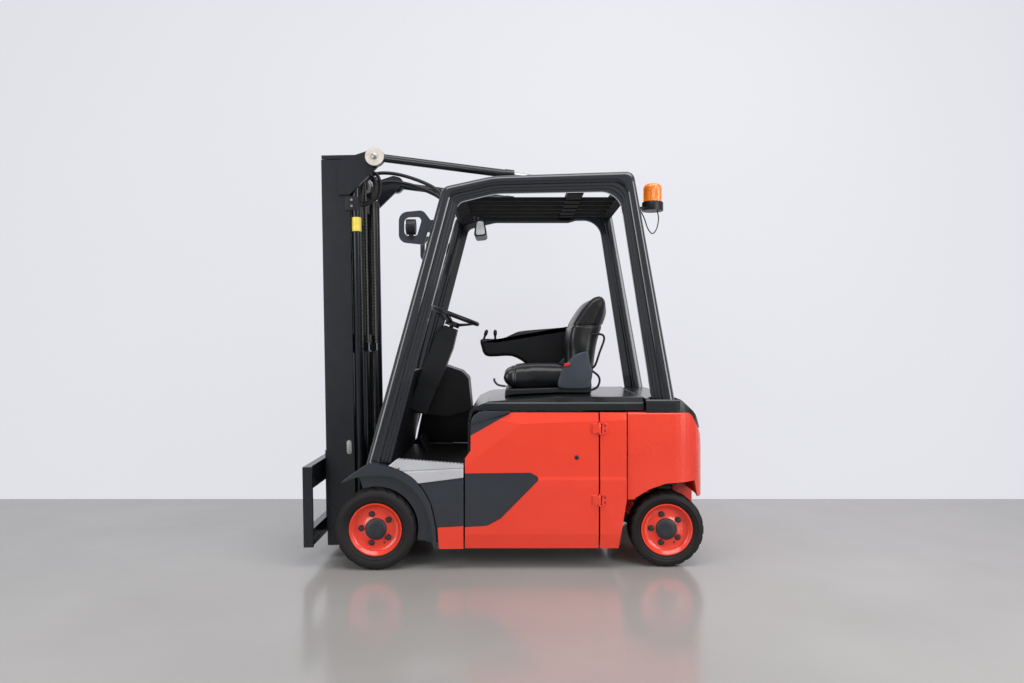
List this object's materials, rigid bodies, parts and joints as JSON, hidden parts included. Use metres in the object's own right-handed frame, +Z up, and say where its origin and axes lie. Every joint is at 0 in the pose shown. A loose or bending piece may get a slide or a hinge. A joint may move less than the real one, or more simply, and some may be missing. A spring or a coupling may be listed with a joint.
{
  "type": "electric counterbalance lift truck",
  "caption": "Electric counterbalance lift truck with four wheels, tilting two-stage mast, bare fork carriage, overhead guard, opening hood and battery door",
  "frame": {"origin": "on the floor below the middle of the bounding box", "axes": "+X forward to the carriage, +Y to the left, +Z up"},
  "size_m": [2.048, 1.09, 2.1677],
  "materials": {
    "red": "gloss",
    "anthracite": "satin",
    "black_steel": "satin",
    "black_plastic": "matte",
    "iron_red": "gloss",
    "steel": "brushed",
    "chrome": "polished",
    "alu": "satin",
    "rubber": "matte",
    "tyre": "matte",
    "amber": "gloss",
    "leather": "matte",
    "chain": "oiled"
  },
  "bodies": {
    "truck": {"chassis_frame": "black_steel", "drive_axle": "black_steel", "battery": "black_steel", "counterweight": "iron_red", "steer_axle": "black_steel", "side_panels": "red", "side_insert_right": "anthracite", "step_plates": "alu", "sill_panels": "anthracite", "front_fenders": "anthracite", "guard_left": "anthracite", "guard_right": "anthracite", "roof_frame": "anthracite", "roof_console": "black_plastic", "floor_mat": "rubber", "dash_console": "black_plastic", "steering_column": "black_plastic", "pedals": "black_plastic", "rear_cover": "black_plastic", "lamp_guards": "anthracite", "work_lamps": "black_plastic", "inside_mirror": "black_plastic", "beacon_base": "black_plastic", "beacon_lens": "amber", "beacon_lead": "rubber", "supply_hoses": "rubber"},
    "door": {"battery_door": "red", "door_insert": "anthracite"},
    "hood": {"hood": "black_plastic", "seat_base": "black_plastic", "seat_cushion": "leather", "seat_back": "leather", "armrest": "black_plastic"},
    "steering": {"steering_wheel": "black_plastic"},
    "mast": {"mast_outer": "anthracite", "lift_barrels": "anthracite", "mast_hoses": "rubber", "chain_rear": "chain"},
    "mast_inner": {"mast_inner": "anthracite", "lift_rods": "chrome", "chain_pulleys": "steel", "chain_front": "chain"},
    "carriage": {"fork_carriage": "anthracite"},
    "tilt_barrels": {"tilt_barrels": "anthracite"},
    "tilt_rods": {"tilt_rods": "chrome"},
    "knuckle_left": {"knuckle_left": "black_steel"},
    "knuckle_right": {"knuckle_right": "black_steel"},
    "wheel_front_left": {"tyre_front_left": "tyre", "rim_front_left": "red"},
    "wheel_front_right": {"tyre_front_right": "tyre", "rim_front_right": "red"},
    "wheel_rear_left": {"tyre_rear_left": "tyre", "rim_rear_left": "red"},
    "wheel_rear_right": {"tyre_rear_right": "tyre", "rim_rear_right": "red"}
  },
  "joints": [
    {"name": "mast_tilt", "type": "hinge", "parent": "truck", "child": "mast", "pos_m": [0.64858, 0, 0.203], "axis": [0, -1, 0], "range_deg": [-4, 8], "deforming": ["supply_hoses"]},
    {"name": "mast_lift", "type": "slide", "parent": "mast", "child": "mast_inner", "axis": [0.0175, 0, 0.9998], "range_m": [0, 1.5], "deforming": ["chain_rear"]},
    {"name": "carriage_lift", "type": "slide", "parent": "mast_inner", "child": "carriage", "axis": [0.0175, 0, 0.9998], "range_m": [0, 1.5], "deforming": ["chain_front"]},
    {"name": "tilt_barrel_pivot", "type": "hinge", "parent": "mast", "child": "tilt_barrels", "pos_m": [0.682, 0, 2.11771], "axis": [0, 1, 0], "range_deg": [-3.6, 7.2]},
    {"name": "tilt_rod_slide", "type": "slide", "parent": "tilt_barrels", "child": "tilt_rods", "axis": [0.992, 0, 0.1264], "range_m": [-0.14, 0.28]},
    {"name": "steer_left", "type": "hinge", "parent": "truck", "child": "knuckle_left", "pos_m": [-0.82642, 0.3825, 0.19], "axis": [0, 0, 1], "range_deg": [-75, 75]},
    {"name": "steer_right", "type": "hinge", "parent": "truck", "child": "knuckle_right", "pos_m": [-0.82642, -0.3825, 0.19], "axis": [0, 0, 1], "range_deg": [-75, 75]},
    {"name": "door_open", "type": "hinge", "parent": "truck", "child": "door", "pos_m": [-0.47642, 0.537, 0.45], "axis": [0, 0, 1], "range_deg": [0, 110]},
    {"name": "hood_open", "type": "hinge", "parent": "truck", "child": "hood", "pos_m": [-0.71042, 0, 0.856], "axis": [0, -1, 0], "range_deg": [0, 55]},
    {"name": "steering_turn", "type": "hinge", "parent": "truck", "child": "steering", "pos_m": [0.28658, 0, 1.294], "axis": [-0.3518, 0, 0.9361], "continuous": true},
    {"name": "wheel_front_left", "type": "hinge", "parent": "truck", "child": "wheel_front_left", "pos_m": [0.64858, 0.46, 0.203], "axis": [0, 1, 0], "continuous": true},
    {"name": "wheel_front_right", "type": "hinge", "parent": "truck", "child": "wheel_front_right", "pos_m": [0.64858, -0.46, 0.203], "axis": [0, 1, 0], "continuous": true},
    {"name": "wheel_rear_left", "type": "hinge", "parent": "knuckle_left", "child": "wheel_rear_left", "pos_m": [-0.82642, 0.4225, 0.19], "axis": [0, 1, 0], "continuous": true},
    {"name": "wheel_rear_right", "type": "hinge", "parent": "knuckle_right", "child": "wheel_rear_right", "pos_m": [-0.82642, -0.4225, 0.19], "axis": [0, 1, 0], "continuous": true}
  ],
  "couplings": [
    {"joint": "carriage_lift", "follows": "mast_lift", "ratio": 1},
    {"joint": "tilt_barrel_pivot", "follows": "mast_tilt", "ratio": 0.785},
    {"joint": "tilt_rod_slide", "follows": "mast_tilt", "m_per_rad": 1.9024},
    {"joint": "steer_right", "follows": "steer_left", "ratio": 1}
  ]
}
